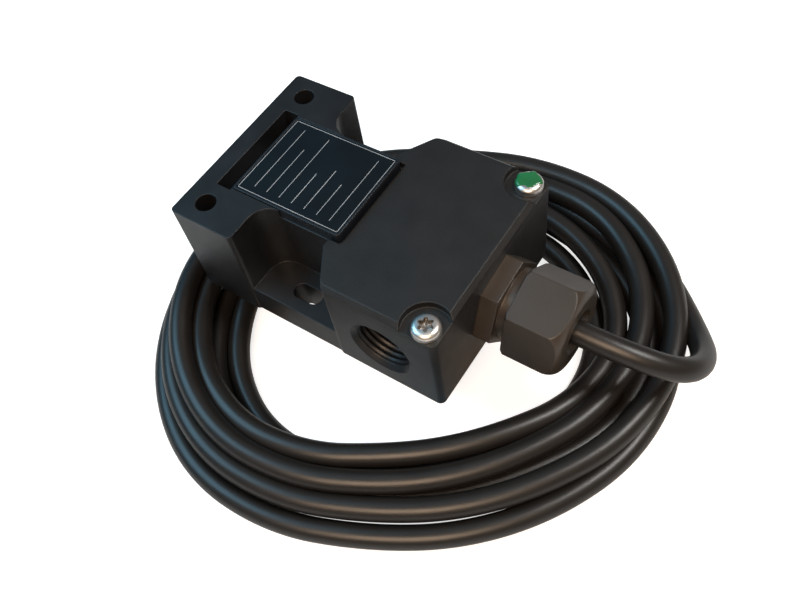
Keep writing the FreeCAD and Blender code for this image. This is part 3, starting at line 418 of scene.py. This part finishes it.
def flat_bar(shape, x0, x1, y0, y1, z):
    corners = [shape.verts.new((x, y, z)) for x, y in ((x0, y0), (x1, y0), (x1, y1), (x0, y1))]
    shape.faces.new(corners)


def make_label_print():
    """A fine frame and plain writing lines of several lengths, a hair above the label's face."""
    low, high = (Vector(corner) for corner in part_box("label_plate"))
    height = high.z + LABEL_PRINT * MM
    line = LABEL_LINE * MM
    margin = LABEL_MARGIN * MM
    x0, x1, y0, y1 = low.x + margin, high.x - margin, low.y + margin, high.y - margin
    shape = bmesh.new()
    flat_bar(shape, x0, x1, y0, y0 + line, height)
    flat_bar(shape, x0, x1, y1 - line, y1, height)
    flat_bar(shape, x0, x0 + line, y0, y1, height)
    flat_bar(shape, x1 - line, x1, y0, y1, height)
    for row, (start, end) in enumerate(LABEL_RULES):
        x = x0 + (x1 - x0) * (row + 1) / (len(LABEL_RULES) + 1)
        flat_bar(shape, x, x + line, y0 + (y1 - y0) * start, y0 + (y1 - y0) * end, height)
    mesh = bpy.data.meshes.new("label_print")
    shape.to_mesh(mesh)
    shape.free()
    add_piece("label_print", mesh, PRINT)


# ---- light, floor and camera -------------------------------------------------------------------
FLOOR_HALF_SIDE = 3.0
WORLD_STRENGTH = 0.24
LAMP_DISTANCE = 0.6
LAMP_TARGET = (45, 0, 10)


def make_floor():
    """A pale sheet under the cord's coil, wide enough to fill the view."""
    ground = CAD_BOX[0][2]
    mesh = bpy.data.meshes.new("floor")
    half = FLOOR_HALF_SIDE
    mesh.from_pydata([(-half, -half, ground), (half, -half, ground), (half, half, ground),
                      (-half, half, ground)], [], [(0, 1, 2, 3)])
    floor = bpy.data.objects.new("floor", mesh)
    bpy.context.collection.objects.link(floor)
    material = bpy.data.materials.new("floor")
    material.use_nodes = True
    tree = material.node_tree
    paper = tree.nodes["Principled BSDF"]
    paper.inputs["Base Color"].default_value = (0.6, 0.6, 0.6, 1)
    paper.inputs["Roughness"].default_value = 0.9
    glow = tree.nodes.new("ShaderNodeEmission")
    glow.inputs["Strength"].default_value = 0.75
    seen = tree.nodes.new("ShaderNodeLightPath").outputs["Is Camera Ray"]
    mix = tree.nodes.new("ShaderNodeMixShader")
    both = tree.nodes.new("ShaderNodeAddShader")
    tree.links.new(seen, mix.inputs["Fac"])
    tree.links.new(paper.outputs["BSDF"], mix.inputs[1])
    tree.links.new(paper.outputs["BSDF"], both.inputs[0])
    tree.links.new(glow.outputs["Emission"], both.inputs[1])
    tree.links.new(both.outputs["Shader"], mix.inputs[2])
    tree.links.new(mix.outputs["Shader"], tree.nodes["Material Output"].inputs["Surface"])
    mesh.materials.append(material)


def make_world():
    """White behind the object, and a dim light from all round, cool from -x and warm from +x."""
    world = bpy.data.worlds.new("studio")
    bpy.context.scene.world = world
    world.use_nodes = True
    tree = world.node_tree
    dim = tree.nodes["Background"]
    dim.inputs["Strength"].default_value = WORLD_STRENGTH
    where = tree.nodes.new("ShaderNodeTexCoord").outputs["Generated"]
    split = tree.nodes.new("ShaderNodeSeparateXYZ")
    tree.links.new(where, split.inputs["Vector"])
    along = tree.nodes.new("ShaderNodeMapRange")
    along.inputs["From Min"].default_value = -1
    tree.links.new(split.outputs["X"], along.inputs["Value"])
    drift = tree.nodes.new("ShaderNodeValToRGB")
    drift.color_ramp.elements[0].position = 0.12
    drift.color_ramp.elements[0].color = (0.08, 0.52, 0.85, 1)
    drift.color_ramp.elements[1].position = 0.33
    drift.color_ramp.elements[1].color = (0.95, 0.95, 1.0, 1)
    warm = drift.color_ramp.elements.new(0.7)
    warm.color = (1.0, 0.82, 0.66, 1)
    tree.links.new(along.outputs["Result"], drift.inputs["Fac"])
    tree.links.new(drift.outputs["Color"], dim.inputs["Color"])
    white = tree.nodes.new("ShaderNodeBackground")
    white.inputs["Strength"].default_value = 1.0
    path = tree.nodes.new("ShaderNodeLightPath")
    mix = tree.nodes.new("ShaderNodeMixShader")
    tree.links.new(path.outputs["Is Camera Ray"], mix.inputs["Fac"])
    tree.links.new(dim.outputs["Background"], mix.inputs[1])
    tree.links.new(white.outputs["Background"], mix.inputs[2])
    tree.links.new(mix.outputs["Shader"], tree.nodes["World Output"].inputs["Surface"])


def make_lamp(name, azimuth, elevation, size, power, colour):
    """A soft square lamp that faces the switch; azimuth is counted from +x towards +y."""
    target = place(*LAMP_TARGET)
    turn = math.radians(azimuth)
    rise = math.radians(elevation)
    away = Vector((math.cos(turn) * math.cos(rise), math.sin(turn) * math.cos(rise), math.sin(rise)))
    lamp = bpy.data.lights.new(name, "AREA")
    lamp.shape = "SQUARE"
    lamp.size = size
    lamp.energy = power
    lamp.color = colour
    stand = bpy.data.objects.new(name, lamp)
    stand.location = target + away * LAMP_DISTANCE
    stand.rotation_euler = (-away).to_track_quat("-Z", "Y").to_euler()
    bpy.context.collection.objects.link(stand)


def make_camera():
    lens = bpy.data.cameras.new("camera")
    lens.lens = 37.3
    lens.sensor_width = 36
    lens.shift_x = 0.0036
    lens.shift_y = 0.0168
    lens.clip_start = 0.01
    camera = bpy.data.objects.new("camera", lens)
    camera.location = (0.1254, -0.09305, 0.14706)
    camera.rotation_euler = [math.radians(angle) for angle in (32.62, 6.93, 33.48)]
    bpy.context.collection.objects.link(camera)
    bpy.context.scene.camera = camera


make_camera()
make_cord(MATERIALS["cord_sheath"])
dress_cad_nodes()
make_lid_screws()
make_lacquer()
make_entry_threads()
make_label_print()
make_floor()
make_world()
make_lamp("warm", -66, 50, 0.3, 2.7, (1.0, 0.72, 0.5))
make_lamp("cool", 205, 48, 0.4, 2.2, (0.36, 0.74, 1.0))
make_lamp("right", 30, 58, 0.2, 2.1, (1.0, 0.98, 0.95))

bpy.context.scene.view_settings.view_transform = "Standard"
